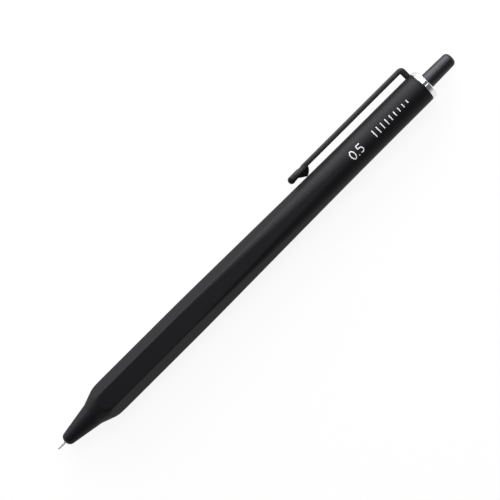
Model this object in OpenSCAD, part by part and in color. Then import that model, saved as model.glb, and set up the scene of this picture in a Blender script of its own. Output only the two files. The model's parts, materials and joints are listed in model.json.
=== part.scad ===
// Retractable needle-point gel pen.
// Every piece is drawn standing on the writing point, with +Z towards the button,
// and laid() then puts the pen down on one flat of its grip: +X runs from the
// writing point to the button and +Y is the clip side. The pen is drawn with its
// needle out. All sizes are in millimetres.

/* [Refill] */
// Length of the refill, from the writing point to the rear of its tail plug
refill_len = 111.1; // [106:0.1:116]
// Outside diameter of the ink tube
tube_d = 6; // [5.4:0.1:6.6]
// Wall of the ink tube
tube_wall = 0.7; // [0.4:0.05:0.9]
// Length of the grease follower behind the ink
follower_len = 9.5; // [8:0.5:12]
// Length of the empty tube between the follower and the tail plug
air_len = 9.6; // [3:0.1:40]
// Length of the float that sits in the follower
float_len = 6; // [4:0.5:7]
// Diameter of the float
float_d = 3; // [2:0.1:3.4]
// Length of the tail plug inside the tube
plug_len = 5; // [3:0.5:7]
// Thickness of the tail plug's flange
plug_flange = 0.8; // [0.5:0.1:1.2]
// Diameter of the vent through the tail plug
vent_d = 1.2; // [0.6:0.1:1.6]

/* [Writing point] */
// Diameter of the writing ball
ball_d = 0.5; // [0.4:0.02:0.56]
// Outside diameter of the needle tube
needle_d = 0.76; // [0.7:0.02:0.9]
// Length of the needle tube
needle_len = 12.4; // [11:0.2:14]
// How far the needle stands out of the nose when the pen writes
needle_out = 2.7; // [1.8:0.1:3.2]
// Length over which the needle tapers at its end
needle_taper = 0.9; // [0.5:0.1:1.4]
// How far the needle's rim reaches past the middle of the ball, which keeps it in
ball_lip = 0.11; // [0.08:0.01:0.13]
// Wall of the needle's rim round the ball
lip_wall = 0.03; // [0.02:0.005:0.05]
// Diameter of the feed hole through the needle
feed_d = 0.38; // [0.3:0.02:0.44]
// Wire diameter of the spring behind the ball
ball_wire_d = 0.05; // [0.04:0.005:0.06]
// Length of the spring behind the ball
ball_spring_len = 6; // [4:0.5:8]
// Number of turns of the spring behind the ball
ball_spring_turns = 14; // [8:1:18]

/* [Tip holder] */
// Thickness of the flange that the return spring pushes on
flange_t = 1.5; // [1:0.1:2.5]
// Length of the holder inside the ink tube
holder_plug_len = 5.5; // [4:0.5:8]
// Wall of the holder at its rear rim
holder_plug_wall = 0.7; // [0.5:0.05:1]
// Length of the taper at the front of the holder's stem
stem_taper = 3; // [2:0.2:5]
// Wall of the holder round the needle, at its very front
stem_front_wall = 0.55; // [0.4:0.05:0.9]
// Diameter of the ink channel through the holder
channel_d = 0.76; // [0.5:0.02:1.2]

/* [Return spring] */
// Outside diameter of the return spring
spring_d = 3.9; // [3.5:0.1:4.3]
// Wire diameter of the return spring
spring_wire_d = 0.32; // [0.26:0.02:0.4]
// Length of the return spring when the needle is out
spring_len = 13; // [11:0.5:16]
// Number of turns of the return spring
spring_turns = 10; // [7:1:13]

/* [Nose cone] */
// Length of the nose cone in front of the barrel
nose_len = 10; // [9:0.1:12]
// Diameter to which the nose cone runs at its front, before it is rounded
nose_tip_d = 3.12; // [2.9:0.02:3.4]
// Radius of the rounded front of the nose cone
nose_round = 1.45; // [1:0.05:1.6]
// Thickness of the nose's front wall
nose_front_wall = 1.3; // [1:0.1:1.6]
// Wall of the nose's plug inside the barrel
nose_plug_wall = 0.5; // [0.4:0.05:0.7]
// Length of the needle's guide bush
bush_len = 3.2; // [2.4:0.1:3.6]
// Wall of the needle's guide bush
bush_wall = 0.55; // [0.4:0.05:0.6]
// How far the spring's seat lies in front of the barrel's mouth
seat_inset = 1.6; // [1.2:0.1:2]

/* [Barrel] */
// Wall of the barrel at its flats and at its round rear
barrel_wall = 0.74; // [0.56:0.02:1]
// Wall of the barrel at its mouth
mouth_wall = 0.6; // [0.5:0.05:0.8]
// Slope of the sharpened front of the barrel, from the pen's axis
mouth_angle = 20; // [16:0.5:26]
// Radius that blends the sharpened front into the grip's corners
shoulder_r = 9; // [5:0.5:11]
// Radius of the grip's six corners
hex_corner_r = 0.3; // [0.2:0.05:0.8]
// Length from the mouth over which the six flats are whole
hex_len = 34.4; // [30:0.2:45]
// Length of the rear stretch that is fully round
round_len = 13; // [8:0.5:30]
// How slowly the corners begin to fade, with 1 for a fade that starts at full pace
fade_start = 1.2; // [1:0.05:2]
// Height of the edge break at the rear of the barrel
rear_break = 0.3; // [0.15:0.05:0.5]

/* [Click mechanism] */
// Travel of the refill between writing and drawn in
stroke = 5.5; // [4.5:0.1:6.5]
// Extra forward travel that lets the cam turn
over_travel = 1.5; // [1:0.1:2]
// Diameter of the bodies of the cam and the plunger
core_d = 4.6; // [4.4:0.1:5.2]
// Height of the plunger's keys
key_h = 0.25; // [0.2:0.05:0.35]
// Height of the cam's lugs
lug_h = 0.5; // [0.45:0.05:0.7]
// Width of the lugs and keys
lug_w = 1.1; // [0.8:0.05:1.3]
// Length of the cam's lugs
lug_len = 2; // [1.6:0.1:3]
// Slope of the lugs and of the ribs' front ends
cam_angle = 32; // [24:1:40]
// Distance from the front of the ribs to the plunger's keys
key_inset = 2.4; // [2:0.1:3]
// Length of the plunger's keys
key_len = 4; // [3:0.1:5]
// Height of the teeth between cam and plunger
crown_h = 1; // [0.6:0.1:1.4]
// Diameter of the cam's centre pin
pin_d = 2; // [1.6:0.1:2.4]
// Length of the cam's centre pin beyond the teeth
pin_len = 3.2; // [2:0.2:4]
// Diameter of the cam's neck, which pushes the refill
neck_d = 4; // [3:0.1:4.4]
// Wall of the cam sleeve outside its deep grooves
sleeve_wall = 0.25; // [0.2:0.05:0.4]

/* [Collar] */
// Length of the bright ring
collar_len = 1.6; // [1.3:0.1:2.2]
// Thickness of the collar's end wall
collar_end_wall = 0.8; // [0.6:0.1:1]
// Height of the rounding at the collar's rim
collar_dome_h = 0.5; // [0.3:0.05:0.7]
// Width of the rounding at the collar's rim
collar_dome_w = 1.2; // [0.6:0.1:1.5]
// Length of the collar's plug inside the barrel
collar_plug_len = 5; // [3.5:0.5:6]
// Wall of the collar's plug
collar_plug_wall = 0.4; // [0.3:0.05:0.5]

/* [Push button] */
// How far the button stands out of the collar when the needle is out
button_out = 9.1; // [7.5:0.1:11]
// Diameter of the button where it leaves the collar
button_d = 4.2; // [3.8:0.1:4.4]
// Diameter of the button at its end
button_end_d = 3.8; // [3.4:0.1:4]
// Radius of the button's rounded end
button_round = 1.1; // [0.4:0.1:1.2]
// Thickness of the button's end wall
button_end_wall = 1.4; // [1:0.1:2]
// Wall of the button's shell
button_wall = 0.6; // [0.4:0.05:0.8]
// Length of the plunger's stub inside the button
stub_len = 5; // [3:0.5:8]

/* [Clip] */
// Length of the clip, from its free end to the rear of its leg
clip_len = 41.5; // [34:0.1:48]
// Width of the clip
clip_w = 2.6; // [2.2:0.1:3.4]
// Depth of the clip's channel, seen from the side
clip_depth = 1.38; // [1.1:0.02:1.6]
// Thickness of the sheet that the clip is pressed from
clip_sheet = 0.45; // [0.35:0.05:0.5]
// Gap between the barrel's round rear and the inside of the clip
clip_gap = 1.9; // [1.5:0.05:2.6]
// Outside radius of the bend at the top of the clip
clip_bend_r = 1.4; // [0.8:0.1:1.6]
// Thickness of the clip's ring
clip_ring_t = 0.5; // [0.4:0.05:0.7]
// Distance from the clip's free end to the bump that touches the barrel
bump_from_end = 4.6; // [4.2:0.1:6]
// Radius of the bump's tip
bump_tip_r = 0.3; // [0.2:0.05:0.5]
// Slope of the bump's straight front flank, from the pen's axis
bump_front_slope = 33; // [30:1:45]
// Slope at which the bump's round rear flank leaves the tip
bump_rear_slope = 15; // [10:1:25]
// Radius of the bump's round rear flank
bump_rear_r = 2.8; // [2.5:0.1:3.6]
// Distance from the bump's tip to where the clip's channel begins
bump_hollow = 2.6; // [2.2:0.1:4]
// Radius of the clip's rounded free end
clip_end_r = 1; // [0.85:0.01:1.05]
// Slope at which the clip's underside rises from its free end to the bump
clip_end_slope = 6; // [2:1:9]
// Radius of the dimple pressed into the clip above the bump
dimple_r = 1.6; // [1.2:0.1:2.4]
// Depth of the dimple
dimple_depth = 0.3; // [0.15:0.05:0.4]

/* [Clearances] */
// Radial clearance of pieces that slide or turn
run_fit = 0.1; // [0.05:0.01:0.15]
// Radial clearance of keys and lugs in their grooves
slide_fit = 0.05; // [0.03:0.01:0.08]
// Radial clearance of pieces pressed or screwed together
seat_fit = 0.03; // [0.02:0.01:0.05]
// Axial gap between pieces that push on each other
touch_gap = 0.05; // [0.03:0.01:0.1]
// Axial gap left at the ends of a travel
travel_gap = 0.5; // [0.3:0.1:0.8]
// Clearance all round the writing ball
ball_fit = 0.012; // [0.01:0.002:0.02]

/* [Hidden] */

$fn = 64;
cuts = 0.5;             // how far a cutter runs past the face that it opens
hair = 0.03;            // how far a surface stands off one that it would else coincide with
index_count = 8;        // steps of the cam in one turn
index_angle = 360 / index_count;
tooth_draft = 3;        // angle over which a tooth drops
tooth_play = 0.4;       // angle by which the plunger's teeth stand back from the cam's

// Radii from the axis outwards. The barrel is as thick as what it holds needs.
needle_r = needle_d / 2;
ball_r = ball_d / 2;
tube_r = tube_d / 2;
tube_bore_r = tube_r - tube_wall;
spring_r = spring_d / 2;
stem_r = spring_r - spring_wire_d - run_fit;
nose_bore_r = spring_r + run_fit + slide_fit;
nose_plug_r = nose_bore_r + nose_plug_wall;
mouth_bore_r = nose_plug_r + seat_fit;
mouth_r = mouth_bore_r + mouth_wall;
bush_bore_r = needle_r + slide_fit;
bush_r = bush_bore_r + bush_wall;
core_r = core_d / 2;
rib_r = core_r + run_fit;
key_r = core_r + key_h;
lug_r = core_r + lug_h;
shallow_r = key_r + slide_fit;
deep_r = lug_r + slide_fit;
sleeve_rear_r = deep_r + sleeve_wall;
collar_plug_bore_r = sleeve_rear_r + seat_fit;
collar_plug_r = collar_plug_bore_r + collar_plug_wall;
barrel_bore_r = collar_plug_r + seat_fit;
sleeve_front_r = barrel_bore_r - run_fit;
barrel_r = barrel_bore_r + barrel_wall;
button_r = button_d / 2;
stub_r = button_r - button_wall - seat_fit;
collar_hole_r = button_r + run_fit;
clip_foot = barrel_r + slide_fit;
clip_inner = barrel_r + clip_gap;
clip_outer = clip_inner + clip_depth;

// Stations along the axis, from the writing point
nose_z = needle_out;
mouth_z = nose_z + nose_len;
bush_z = nose_z + nose_front_wall;
bush_end_z = bush_z + bush_len;
stem_z = bush_end_z + over_travel + travel_gap;
seat_z = mouth_z - seat_inset;
flange_z = seat_z + spring_len;
nose_plug_z = flange_z - over_travel - travel_gap;
tube_z = flange_z + flange_t;
ink_z = tube_z + holder_plug_len + touch_gap;
tube_end_z = refill_len - plug_flange;
plug_z = tube_end_z - plug_len;
follower_end_z = plug_z - air_len;
follower_z = follower_end_z - follower_len;
ink_end_z = follower_z - touch_gap;
float_z = follower_z + (follower_len - float_len) / 2;
sleeve_z = refill_len + stroke + run_fit;
lug_z = sleeve_z + over_travel + run_fit;
crown_z = lug_z + lug_len;
rib_z = crown_z + run_fit;
key_z = rib_z + key_inset;
key_end_z = key_z + key_len;
stop_z = key_end_z + stroke + run_fit;
top_z = stop_z + collar_end_wall;
collar_z = top_z - collar_len;
barrel_end_z = collar_z - clip_ring_t;
sleeve_step_z = collar_z - collar_plug_len;
groove_end_z = crown_z + stroke + run_fit;
button_z = top_z + button_out;
clip_end_z = collar_z - clip_len;
bump_z = clip_end_z + bump_from_end;
clip_leg_z = collar_z - clip_depth;
hex_end_z = mouth_z + hex_len;
round_z = barrel_end_z - round_len;

// The pen's frame: its origin lies on the desk below the middle of its length
middle_z = button_z / 2;

// ---- shared shapes ----

// Lays a standing piece down on the desk
module laid()
    translate([-middle_z, 0, barrel_r]) rotate([0, 90, 0]) children();

// A round bar from z to end, with its own radius at each end
module bar(z, end, r, r_end)
    translate([0, 0, z]) cylinder(h = end - z, r1 = r, r2 = is_undef(r_end) ? r : r_end);

// A tube from z to end
module tube(z, end, r, bore_r)
    difference() {
        bar(z, end, r);
        bar(z - cuts, end + cuts, bore_r);
    }

// Points of an arc about [x, y], from angle a to angle b
function arc(x, y, r, a, b, n = 8) =
    [for (i = [0 : n]) [x + r * cos(a + (b - a) * i / n), y + r * sin(a + (b - a) * i / n)]];

// Faces of a stack of rings that each have the same number of points, with both
// ends closed. The rings run anticlockwise, seen from the end of the stack.
function skin_faces(rings, sides) = concat(
    [[for (j = [0 : sides - 1]) j]],
    [for (i = [0 : rings - 2], j = [0 : sides - 1]) let (k = (j + 1) % sides)
        [i * sides + j, (i + 1) * sides + j, (i + 1) * sides + k, i * sides + k]],
    [[for (j = [sides - 1 : -1 : 0]) (rings - 1) * sides + j]]);

// A wire of diameter wire_d wound into a coil of outer radius r, from z to end,
// with one closed turn at each end
module coil(r, wire_d, z, end, turns, steps, sides) {
    path_r = r - wire_d / 2;
    closed = wire_d * 1.06;
    open = (end - z - wire_d - 2 * closed) / (turns - 2);
    function rise(t) = t < 1 ? closed * t
        : t > turns - 1 ? end - z - wire_d - closed * (turns - t)
        : closed + open * (t - 1);
    rings = turns * steps + 1;
    points = [for (i = [0 : rings - 1], j = [0 : sides - 1])
        let (t = i / steps, turn = 360 * t, around = -360 * j / sides,
            out = path_r + wire_d / 2 * cos(around))
        [out * cos(turn), out * sin(turn),
            z + wire_d / 2 + rise(t) + wire_d / 2 * sin(around)]];
    polyhedron(points, skin_faces(rings, sides), convexity = 10);
}

// A ring of saw teeth between two radii, standing on z: each tooth climbs by h over
// one index step and drops over its draft. The ring reaches below z by foot.
module crown(bore_r, r, z, h, foot) {
    steps = 4;
    rim = r / cos(index_angle / steps / 2);
    sides = index_count * steps;
    function turn(j) = index_angle * floor(j / steps)
        + (index_angle - tooth_draft) * (j % steps) / (steps - 1);
    function climb(j) = h * (j % steps) / (steps - 1);
    function loop(radius, low) = [for (j = [0 : sides - 1])
        [radius * cos(turn(j)), radius * sin(turn(j)), low ? z - foot : z + climb(j)]];
    points = concat(loop(rim, true), loop(rim, false), loop(bore_r, false), loop(bore_r, true));
    polyhedron(points, [for (i = [0 : 3], j = [0 : sides - 1])
        let (k = (j + 1) % sides, next = (i + 1) % 4)
        [i * sides + j, next * sides + j, next * sides + k, i * sides + k]], convexity = 10);
}

// A straight key on a round body, from z to end, with a rear face at the slope given
module key(r, w, z, end, slope)
    rotate([90, 0, 90]) linear_extrude(r)
        polygon([[-w / 2, z], [w / 2, z], [w / 2, end], [-w / 2, end - w * tan(slope)]]);

// ---- barrel ----

// Radius of the six corners at a station: sharp at the grip, and growing until the
// section is round
function corner_r(z) =
    let (t = min(1, max(0, (z - hex_end_z) / (round_z - hex_end_z))), full = barrel_r - hair)
    hex_corner_r + (full - hex_corner_r) * sin(90 * pow(t, fade_start));

// How far a corner reaches from the axis at a station
function corner_reach(z) = (barrel_r - corner_r(z)) / cos(30) + corner_r(z);

// One ring of the barrel's outside: a hexagon with rounded corners
function hex_ring(z) = [for (c = [0 : 5], p = arc(0, 0, corner_r(z), 60 * c, 60 * c + 60))
    let (away = (barrel_r - corner_r(z)) / cos(30))
    [away * cos(60 * c + 30) + p[0], away * sin(60 * c + 30) + p[1], z]];

// The barrel's outside, a loft from hexagon to round
module hex_loft() {
    fade_steps = 14;
    stations = concat([mouth_z],
        [for (i = [0 : fade_steps]) hex_end_z + (round_z - hex_end_z) * i / fade_steps],
        [barrel_end_z]);
    points = [for (z = stations) each hex_ring(z)];
    polyhedron(points, skin_faces(len(stations), len(hex_ring(0))), convexity = 4);
}

// The turned outline that sharpens the front and breaks the rear edge
module turned_outline() {
    reach = corner_reach(mouth_z) + hair;
    cone_z = mouth_z + (reach - mouth_r) / tan(mouth_angle);
    blend_end = cone_z + shoulder_r * tan(mouth_angle / 2);
    rotate_extrude() polygon(concat(
        [[0, mouth_z], [mouth_r, mouth_z]],
        arc(reach - shoulder_r, blend_end, shoulder_r, -mouth_angle, 0),
        [[reach + cuts, blend_end], [reach + cuts, barrel_end_z - rear_break - cuts],
            [barrel_r + hair, barrel_end_z - rear_break],
            [barrel_r - rear_break / 2, barrel_end_z], [0, barrel_end_z]]));
}

module barrel() color([0.07, 0.07, 0.075]) laid() {
    bore_z = nose_plug_z + slide_fit;
    bore_cone = barrel_bore_r - mouth_bore_r;
    difference() {
        intersection() {
            hex_loft();
            turned_outline();
        }
        bar(mouth_z - cuts, bore_z + cuts, mouth_bore_r);
        bar(bore_z, bore_z + bore_cone, mouth_bore_r, barrel_bore_r);
        bar(bore_z + bore_cone, barrel_end_z + cuts, barrel_bore_r);
    }
}

// ---- nose ----

module nose_cone() color([0.07, 0.07, 0.075]) laid() {
    slope = atan((mouth_r - nose_tip_d / 2) / nose_len);
    tan_slope = tan(slope);
    round_r = nose_tip_d / 2 + nose_round * (1 - sin(slope)) * tan_slope - nose_round * cos(slope);
    difference() {
        rotate_extrude() polygon(concat(
            [[0, nose_z]],
            arc(round_r, nose_z + nose_round, nose_round, -90, -slope),
            [[mouth_r, mouth_z], [nose_plug_r, mouth_z], [nose_plug_r, nose_plug_z],
                [0, nose_plug_z]]));
        bar(nose_z - cuts, bush_z + cuts, needle_r + slide_fit);
        bar(bush_z, bush_end_z + cuts, bush_r + seat_fit);
        bar(bush_end_z, seat_z + cuts, stem_r + run_fit);
        bar(seat_z, nose_plug_z + cuts, nose_bore_r);
    }
}

module needle_bush() color([0.85, 0.85, 0.82]) laid()
    tube(bush_z, bush_end_z, bush_r, bush_bore_r);

// ---- refill ----

module tip_ball() color([0.7, 0.7, 0.72]) laid()
    translate([0, 0, ball_r]) sphere(r = ball_r);

module needle_tube() color([0.75, 0.76, 0.78]) laid() {
    lip_z = ball_r - ball_lip;
    lip_r = ball_r + ball_fit + lip_wall;
    difference() {
        union() {
            bar(lip_z, lip_z + needle_taper, lip_r, needle_r);
            bar(lip_z + needle_taper, needle_len, needle_r);
        }
        translate([0, 0, ball_r]) sphere(r = ball_r + ball_fit);
        bar(ball_r, needle_len + cuts, feed_d / 2);
    }
}

module ball_spring() color([0.7, 0.7, 0.72]) laid() {
    spring_z = ball_d + ball_fit;
    coil(feed_d / 2 - slide_fit, ball_wire_d, spring_z, spring_z + ball_spring_len,
        ball_spring_turns, 8, 5);
}

module tip_holder() color([0.9, 0.9, 0.88]) laid() {
    socket_z = needle_len + touch_gap;
    difference() {
        union() {
            bar(stem_z, stem_z + stem_taper, needle_r + stem_front_wall, stem_r);
            bar(stem_z + stem_taper, flange_z, stem_r);
            bar(flange_z, tube_z, tube_r);
            bar(tube_z, ink_z - touch_gap, tube_bore_r - seat_fit);
        }
        bar(stem_z - cuts, socket_z, needle_r + ball_fit);
        bar(socket_z - cuts, ink_z + cuts, channel_d / 2);
        bar(tube_z, ink_z + cuts, channel_d / 2, tube_bore_r - holder_plug_wall);
    }
}

module refill_tube() color([0.85, 0.87, 0.9, 0.4]) laid()
    tube(tube_z, tube_end_z, tube_r, tube_bore_r);

module gel_ink() color([0.02, 0.02, 0.05]) laid()
    bar(ink_z, ink_end_z, tube_bore_r - seat_fit);

module ink_follower() color([0.9, 0.85, 0.6]) laid()
    difference() {
        bar(follower_z, follower_end_z, tube_bore_r - seat_fit);
        bar(float_z, float_z + float_len + seat_fit, float_d / 2 + seat_fit);
    }

module follower_float() color([0.8, 0.82, 0.85]) laid()
    bar(float_z, float_z + float_len, float_d / 2);

module tail_plug() color([0.9, 0.9, 0.88]) laid()
    difference() {
        union() {
            bar(plug_z, tube_end_z, tube_bore_r - seat_fit);
            bar(tube_end_z, refill_len, tube_r);
        }
        bar(plug_z - cuts, refill_len + cuts, vent_d / 2);
    }

module return_spring() color([0.7, 0.7, 0.72]) laid()
    coil(spring_r, spring_wire_d, seat_z, flange_z, spring_turns, 14, 8);

// ---- click mechanism ----

// The sleeve: four deep grooves that let the cam's lugs back, and four shallow ones
// that only the plunger's keys can use
module cam_sleeve() color([0.8, 0.8, 0.78]) laid() {
    groove_w = lug_w + 2 * slide_fit;
    difference() {
        union() {
            bar(sleeve_z, sleeve_step_z, sleeve_front_r);
            bar(sleeve_step_z, stop_z, sleeve_rear_r);
        }
        bar(sleeve_z - cuts, rib_z, deep_r);
        bar(rib_z - cuts, stop_z + cuts, rib_r);
        crown(rib_r - cuts, deep_r + slide_fit, rib_z, crown_h, cuts);
        for (i = [0 : index_count - 1]) rotate(i * index_angle) {
            deep = i % 2 == 0;
            intersection() {
                key(barrel_r, groove_w, rib_z - cuts, stop_z + cuts, 0);
                bar(rib_z - cuts, stop_z + cuts, shallow_r);
            }
            if (deep) intersection() {
                key(barrel_r, groove_w, rib_z - cuts, groove_end_z, 0);
                bar(rib_z - cuts, groove_end_z, deep_r);
            }
        }
    }
}

module rotor_cam() color([0.2, 0.35, 0.6]) laid() {
    bar(refill_len + touch_gap, lug_z, neck_d / 2);
    bar(lug_z, crown_z, core_r);
    intersection() {
        for (i = [0 : 2 : index_count - 1]) rotate(i * index_angle)
            key(barrel_r, lug_w, lug_z, crown_z, cam_angle);
        bar(lug_z, crown_z, lug_r);
    }
    crown(pin_d / 2 - slide_fit, core_r - slide_fit, crown_z, crown_h, cuts);
    bar(crown_z - cuts, crown_z + crown_h + pin_len, pin_d / 2);
}

module plunger() color([0.85, 0.85, 0.82]) laid() {
    front_z = crown_z + touch_gap;
    pin_hole_r = pin_d / 2 + run_fit;
    difference() {
        union() {
            bar(front_z, key_end_z, core_r);
            intersection() {
                for (i = [0 : index_count - 1]) rotate(i * index_angle)
                    key(barrel_r, lug_w, key_z, key_end_z, 0);
                bar(key_z, key_end_z, key_r);
            }
            bar(key_end_z, key_end_z + stub_len, stub_r);
        }
        rotate(tooth_play) crown(pin_hole_r - run_fit, core_r + cuts, front_z, crown_h, cuts);
        bar(front_z - cuts, crown_z + crown_h + pin_len + run_fit, pin_hole_r);
    }
}

module push_button() color([0.12, 0.12, 0.13]) laid()
    difference() {
        end_r = button_end_d / 2;
        rotate_extrude() polygon(concat(
            [[0, key_end_z], [button_r, key_end_z], [button_r, top_z]],
            arc(end_r - button_round, button_z - button_round, button_round, 0, 90),
            [[0, button_z]]));
        bar(key_end_z - cuts, button_z - button_end_wall, button_r - button_wall);
    }

// ---- collar ----

module top_collar() color([0.85, 0.86, 0.88]) laid() {
    rim = [for (a = [0 : 11.25 : 90])
        [barrel_r - collar_dome_w * (1 - cos(a)), top_z - collar_dome_h * (1 - sin(a))]];
    difference() {
        rotate_extrude() polygon(concat(
            [[0, sleeve_step_z], [collar_plug_r, sleeve_step_z], [collar_plug_r, collar_z],
                [barrel_r, collar_z]],
            rim, [[0, top_z]]));
        bar(sleeve_step_z - cuts, stop_z, collar_plug_bore_r);
        bar(stop_z - cuts, top_z + cuts, collar_hole_r);
    }
}

// ---- clip ----

// The ring is held between barrel and collar. The clip's leg stands on its lug.
module clip_ring() color([0.08, 0.08, 0.085]) laid()
    difference() {
        union() {
            bar(barrel_end_z, collar_z, barrel_r);
            translate([-clip_w / 2, 0, barrel_end_z]) cube([clip_w, clip_foot, clip_ring_t]);
        }
        bar(barrel_end_z - cuts, collar_z + cuts, collar_plug_r + seat_fit);
    }

// The clip's side outline, as [height from the axis, station]: foot, leg, bend, arm,
// rounded free end, and the bump whose tip touches the barrel
module clip_outline() {
    tip = corner_reach(bump_z) + touch_gap;
    rear_h = tip + bump_rear_r * cos(bump_rear_slope);
    rear_z = bump_z - bump_rear_r * sin(bump_rear_slope);
    rear_end = acos((rear_h - clip_inner) / bump_rear_r);
    tip_h = tip + bump_tip_r * cos(bump_rear_slope);
    tip_z = bump_z - bump_tip_r * sin(bump_rear_slope);
    front_h = tip_h - bump_tip_r * cos(bump_front_slope);
    front_z = tip_z - bump_tip_r * sin(bump_front_slope);
    end_h = clip_outer - clip_end_r - clip_end_r * cos(clip_end_slope);
    end_z = clip_end_z + clip_end_r + clip_end_r * sin(clip_end_slope);
    to_notch = (front_h - end_h + (front_z - end_z) * tan(bump_front_slope))
        / (tan(clip_end_slope) + tan(bump_front_slope));
    polygon(concat(
        [[clip_foot, clip_leg_z], [clip_foot, collar_z]],
        arc(clip_outer - clip_bend_r, collar_z - clip_bend_r, clip_bend_r, 90, 0),
        arc(clip_outer - clip_end_r, clip_end_z + clip_end_r, clip_end_r, 0,
            -180 - clip_end_slope, 12),
        [[end_h + to_notch * tan(clip_end_slope), end_z + to_notch]],
        arc(tip_h, tip_z, bump_tip_r, 180 + bump_front_slope, 180 - bump_rear_slope, 4),
        arc(rear_h, rear_z, bump_rear_r, 180 - bump_rear_slope, 180 - rear_end),
        [[clip_inner, clip_leg_z]]));
}

// The hollow of the pressed channel, open towards the barrel
module clip_hollow() {
    bend_r = clip_bend_r - clip_sheet;
    start_z = bump_z + bump_hollow;
    polygon(concat(
        [[clip_foot - cuts, clip_leg_z - cuts], [clip_foot - cuts, collar_z - clip_sheet]],
        arc(clip_outer - clip_bend_r, collar_z - clip_bend_r, bend_r, 90, 0),
        [[clip_outer - clip_sheet, start_z], [clip_inner - cuts, start_z],
            [clip_inner - cuts, clip_leg_z - cuts]]));
}

module clip() color([0.08, 0.08, 0.085]) laid()
    intersection() {
        rotate([90, 0, 90]) difference() {
            translate([0, 0, -clip_w / 2]) linear_extrude(clip_w) clip_outline();
            translate([0, 0, clip_sheet - clip_w / 2]) linear_extrude(clip_w - 2 * clip_sheet)
                clip_hollow();
            translate([clip_outer + dimple_r - dimple_depth, bump_z, 0]) sphere(r = dimple_r);
        }
        union() {
            translate([0, 0, clip_end_z + clip_w / 2]) rotate([-90, 0, 0])
                cylinder(h = clip_outer + cuts, d = clip_w);
            translate([-clip_w, 0, clip_end_z + clip_w / 2])
                cube([2 * clip_w, clip_outer + cuts, clip_len]);
        }
    }

// ---- what is drawn ----

barrel();
nose_cone();
needle_bush();
clip();
clip_ring();
top_collar();
cam_sleeve();
return_spring();
needle_tube();
tip_holder();
refill_tube();
gel_ink();
ink_follower();
follower_float();
tail_plug();
ball_spring();
tip_ball();
rotor_cam();
plunger();
push_button();
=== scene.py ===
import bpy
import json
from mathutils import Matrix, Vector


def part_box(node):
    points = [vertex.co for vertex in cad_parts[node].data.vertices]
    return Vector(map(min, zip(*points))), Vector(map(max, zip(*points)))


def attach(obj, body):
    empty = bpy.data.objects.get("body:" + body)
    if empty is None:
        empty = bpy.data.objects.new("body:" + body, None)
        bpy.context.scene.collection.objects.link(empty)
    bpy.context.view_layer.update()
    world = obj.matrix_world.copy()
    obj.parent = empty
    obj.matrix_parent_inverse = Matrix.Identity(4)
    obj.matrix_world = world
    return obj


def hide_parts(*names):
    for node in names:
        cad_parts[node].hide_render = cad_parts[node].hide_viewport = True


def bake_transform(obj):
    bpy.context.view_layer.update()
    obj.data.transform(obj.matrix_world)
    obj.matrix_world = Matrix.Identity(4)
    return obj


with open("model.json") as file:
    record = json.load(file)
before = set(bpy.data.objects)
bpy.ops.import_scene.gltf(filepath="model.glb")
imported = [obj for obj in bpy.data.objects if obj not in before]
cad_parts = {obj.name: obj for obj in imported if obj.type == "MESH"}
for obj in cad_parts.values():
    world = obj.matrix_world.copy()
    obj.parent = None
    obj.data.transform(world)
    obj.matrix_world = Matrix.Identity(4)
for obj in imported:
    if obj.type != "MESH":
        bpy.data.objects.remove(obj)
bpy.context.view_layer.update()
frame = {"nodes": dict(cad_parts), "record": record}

"""Retractable gel pen: the fine surfaces and finishes of its pieces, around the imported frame.

The pen's sizes are in millimetres, and those of the stage round it are in metres. A surface
is worked out along the pen (x), towards the clip (y) and upwards from the pen's axis (z), and
only the mesh itself is in metres, in the frame's own place.
"""

import json
import logging
import math
from collections.abc import Callable
from dataclasses import dataclass
from enum import Enum

import bmesh
import bpy
import numpy as np
from mathutils import Vector

log = logging.getLogger("gel_pen")
MM = 0.001
UP = math.pi / 2  # angle round the axis at which a surface faces up, measured from the clip side
FLAT_LEAD = 0.04  # longest way from a rounded corner to the point that keeps its side flat
CLOSED_TURN = 1.06  # rise of a spring's closed turn, in diameters of its wire


# ---- the frame, in millimetres ----


@dataclass(frozen=True)
class Reach:
    """Where a CAD node lies along the pen, and how far it reaches from the axis."""

    start: float
    end: float
    radius: float
    low_side: float
    clip_side: float

    @classmethod
    def of(cls, node: str) -> "Reach":
        """Reads the box of a CAD node: its x, half its height, and its lowest and highest y."""
        low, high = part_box(node)
        return cls(low.x / MM, high.x / MM, (high.z - low.z) / 2 / MM, low.y / MM, high.y / MM)


AXIS_HEIGHT = Reach.of("barrel").radius
BODY_OF: dict[str, str] = {
    node: body for body, nodes in frame["record"]["behaviour"]["bodies"].items() for node in nodes
}
SLOT_OF: dict[str, str] = {
    part["node"]: part["material_slot"] for part in frame["record"]["subparts"]
}


# ---- surfaces ----


@dataclass(frozen=True)
class Skin:
    """A grid of points, joined into quads along its rows and columns.

    Rows run along the piece and columns run round it. Columns always close on themselves.
    """

    points: np.ndarray
    closed_rows: bool = False
    caps: tuple[bool, bool] = (False, False)

    def faces(self, first: int) -> list[list[int]]:
        """Joins the grid's points.

        Args:
            first: index of the grid's first vertex in the mesh.

        Returns:
            Quads as lists of vertex indices, and a polygon for each end that is capped.
        """
        rows, columns = self.points.shape[:2]
        index = first + np.arange(rows * columns).reshape(rows, columns)
        here = index if self.closed_rows else index[:-1]
        ahead = np.roll(index, -1, axis=0) if self.closed_rows else index[1:]
        quads = np.stack([here, np.roll(here, -1, 1), np.roll(ahead, -1, 1), ahead], axis=-1)
        made = quads.reshape(-1, 4).tolist()
        ends = index[0, ::-1].tolist(), index[-1].tolist()
        return made + [end for end, capped in zip(ends, self.caps) if capped]


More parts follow.
